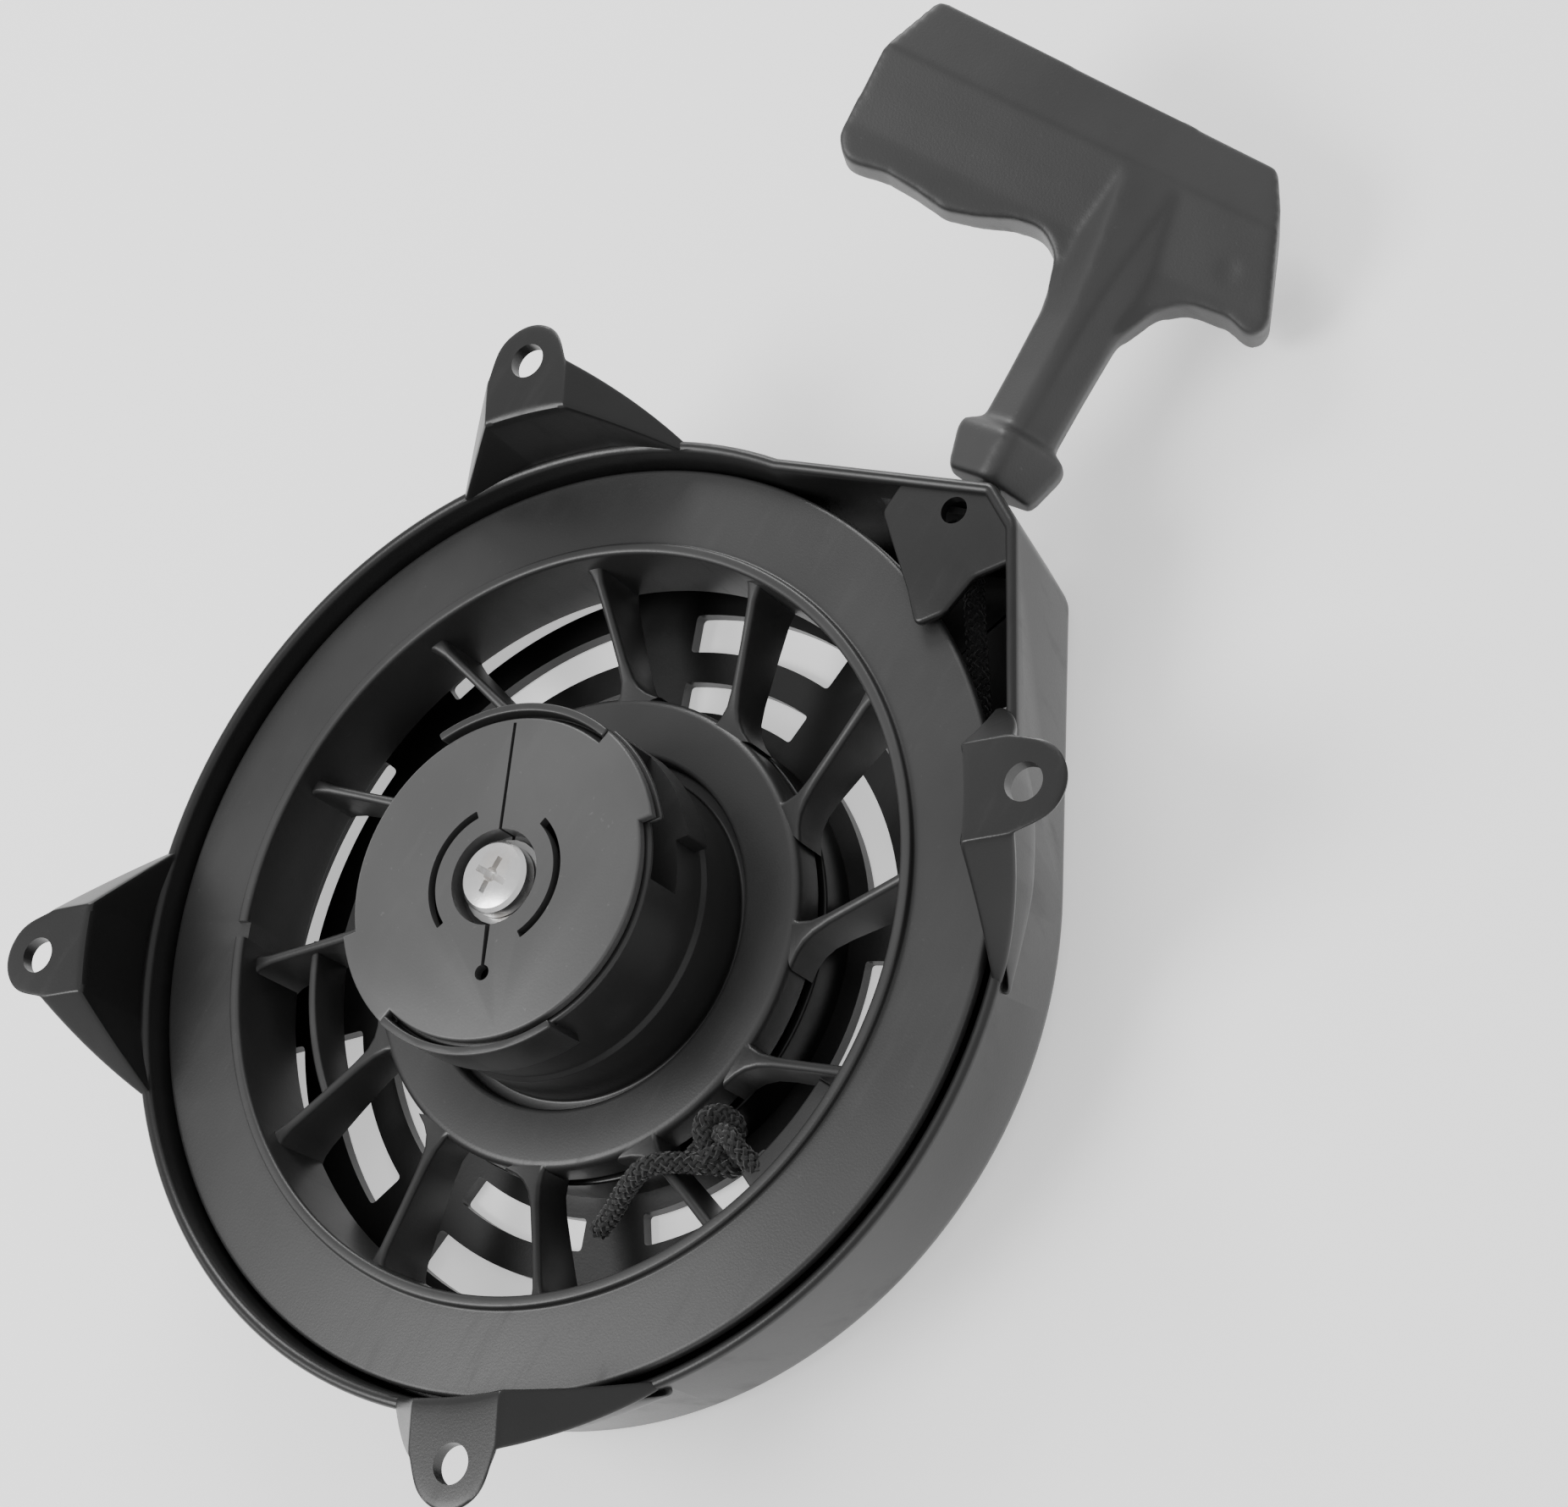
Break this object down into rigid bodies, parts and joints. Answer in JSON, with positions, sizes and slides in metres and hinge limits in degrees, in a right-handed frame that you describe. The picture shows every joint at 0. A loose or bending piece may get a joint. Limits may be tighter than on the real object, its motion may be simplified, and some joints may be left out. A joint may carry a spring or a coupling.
{
  "type": "recoil starter",
  "caption": "Recoil starter: a slotted moulded bowl with tall mounting lugs, a rope pulley with swept spokes, pawls under a friction plate, and a pull rope with a T grip.",
  "frame": {"origin": "on the pulley's axis, in the plane of the housing's flat outer face", "axes": "+Z towards the engine, +X the way the handle is pulled"},
  "size_m": [0.2581, 0.1796, 0.0507],
  "materials": {
    "housing_plastic": "satin black injection-moulded nylon with a fine moulded grain",
    "pulley_plastic": "satin dark charcoal moulded nylon, slightly polished on the ring's face",
    "grip_plastic": "satin black moulded plastic with soft edges",
    "plate_plastic": "satin dark grey moulded plastic",
    "rope": "braided black nylon rope with grey flecks",
    "spring_steel": "blued spring steel, lightly oiled",
    "zinc_steel": "bright zinc-plated steel"
  },
  "bodies": {
    "housing": {"starter_housing": "housing_plastic", "rope_bush": "plate_plastic", "rewind_spring": "spring_steel", "friction_spring": "spring_steel", "friction_washer": "spring_steel", "centre_screw": "zinc_steel", "rope_run": "rope"},
    "pulley": {"pulley": "pulley_plastic", "rope_wound": "rope", "rope_knot_pulley": "rope", "pawl_spring_a": "spring_steel", "pawl_spring_b": "spring_steel"},
    "plate": {"friction_plate": "plate_plastic"},
    "pawl_a": {"pawl_a": "plate_plastic"},
    "pawl_b": {"pawl_b": "plate_plastic"},
    "handle": {"pull_grip": "grip_plastic", "grip_insert": "grip_plastic", "grip_washer": "zinc_steel", "rope_knot_handle": "rope", "rope_lead": "rope"}
  },
  "joints": [
    {"name": "pulley_spin", "type": "hinge", "parent": "housing", "child": "pulley", "pos_m": [0, 0, 0], "axis": [0, 0, 1], "range_deg": [0, 1010], "stiffness_Nm_per_rad": 0.02, "springref_deg": -343.77, "deforming": ["rope_wound", "rewind_spring"]},
    {"name": "handle_pull", "type": "slide", "parent": "housing", "child": "handle", "axis": [1, 0, 0], "range_m": [0, 1.31], "deforming": ["rope_lead"]},
    {"name": "plate_turn", "type": "hinge", "parent": "pulley", "child": "plate", "pos_m": [0, 0, 0], "axis": [0, 0, 1], "range_deg": [-30, 0], "stiffness_Nm_per_rad": 0.002, "springref_deg": 17.19},
    {"name": "pawl_a_swing", "type": "hinge", "parent": "pulley", "child": "pawl_a", "pos_m": [0.00193, -0.0184, 0.0403], "axis": [0, 0, 1], "range_deg": [-30, 0]},
    {"name": "pawl_b_swing", "type": "hinge", "parent": "pulley", "child": "pawl_b", "pos_m": [-0.00193, 0.0184, 0.0403], "axis": [0, 0, 1], "range_deg": [-30, 0]}
  ],
  "couplings": [
    {"joint": "handle_pull", "follows": "pulley_spin", "m_per_rad": 0.0738},
    {"joint": "pawl_a_swing", "follows": "plate_turn", "ratio": 1},
    {"joint": "pawl_b_swing", "follows": "plate_turn", "ratio": 1}
  ]
}
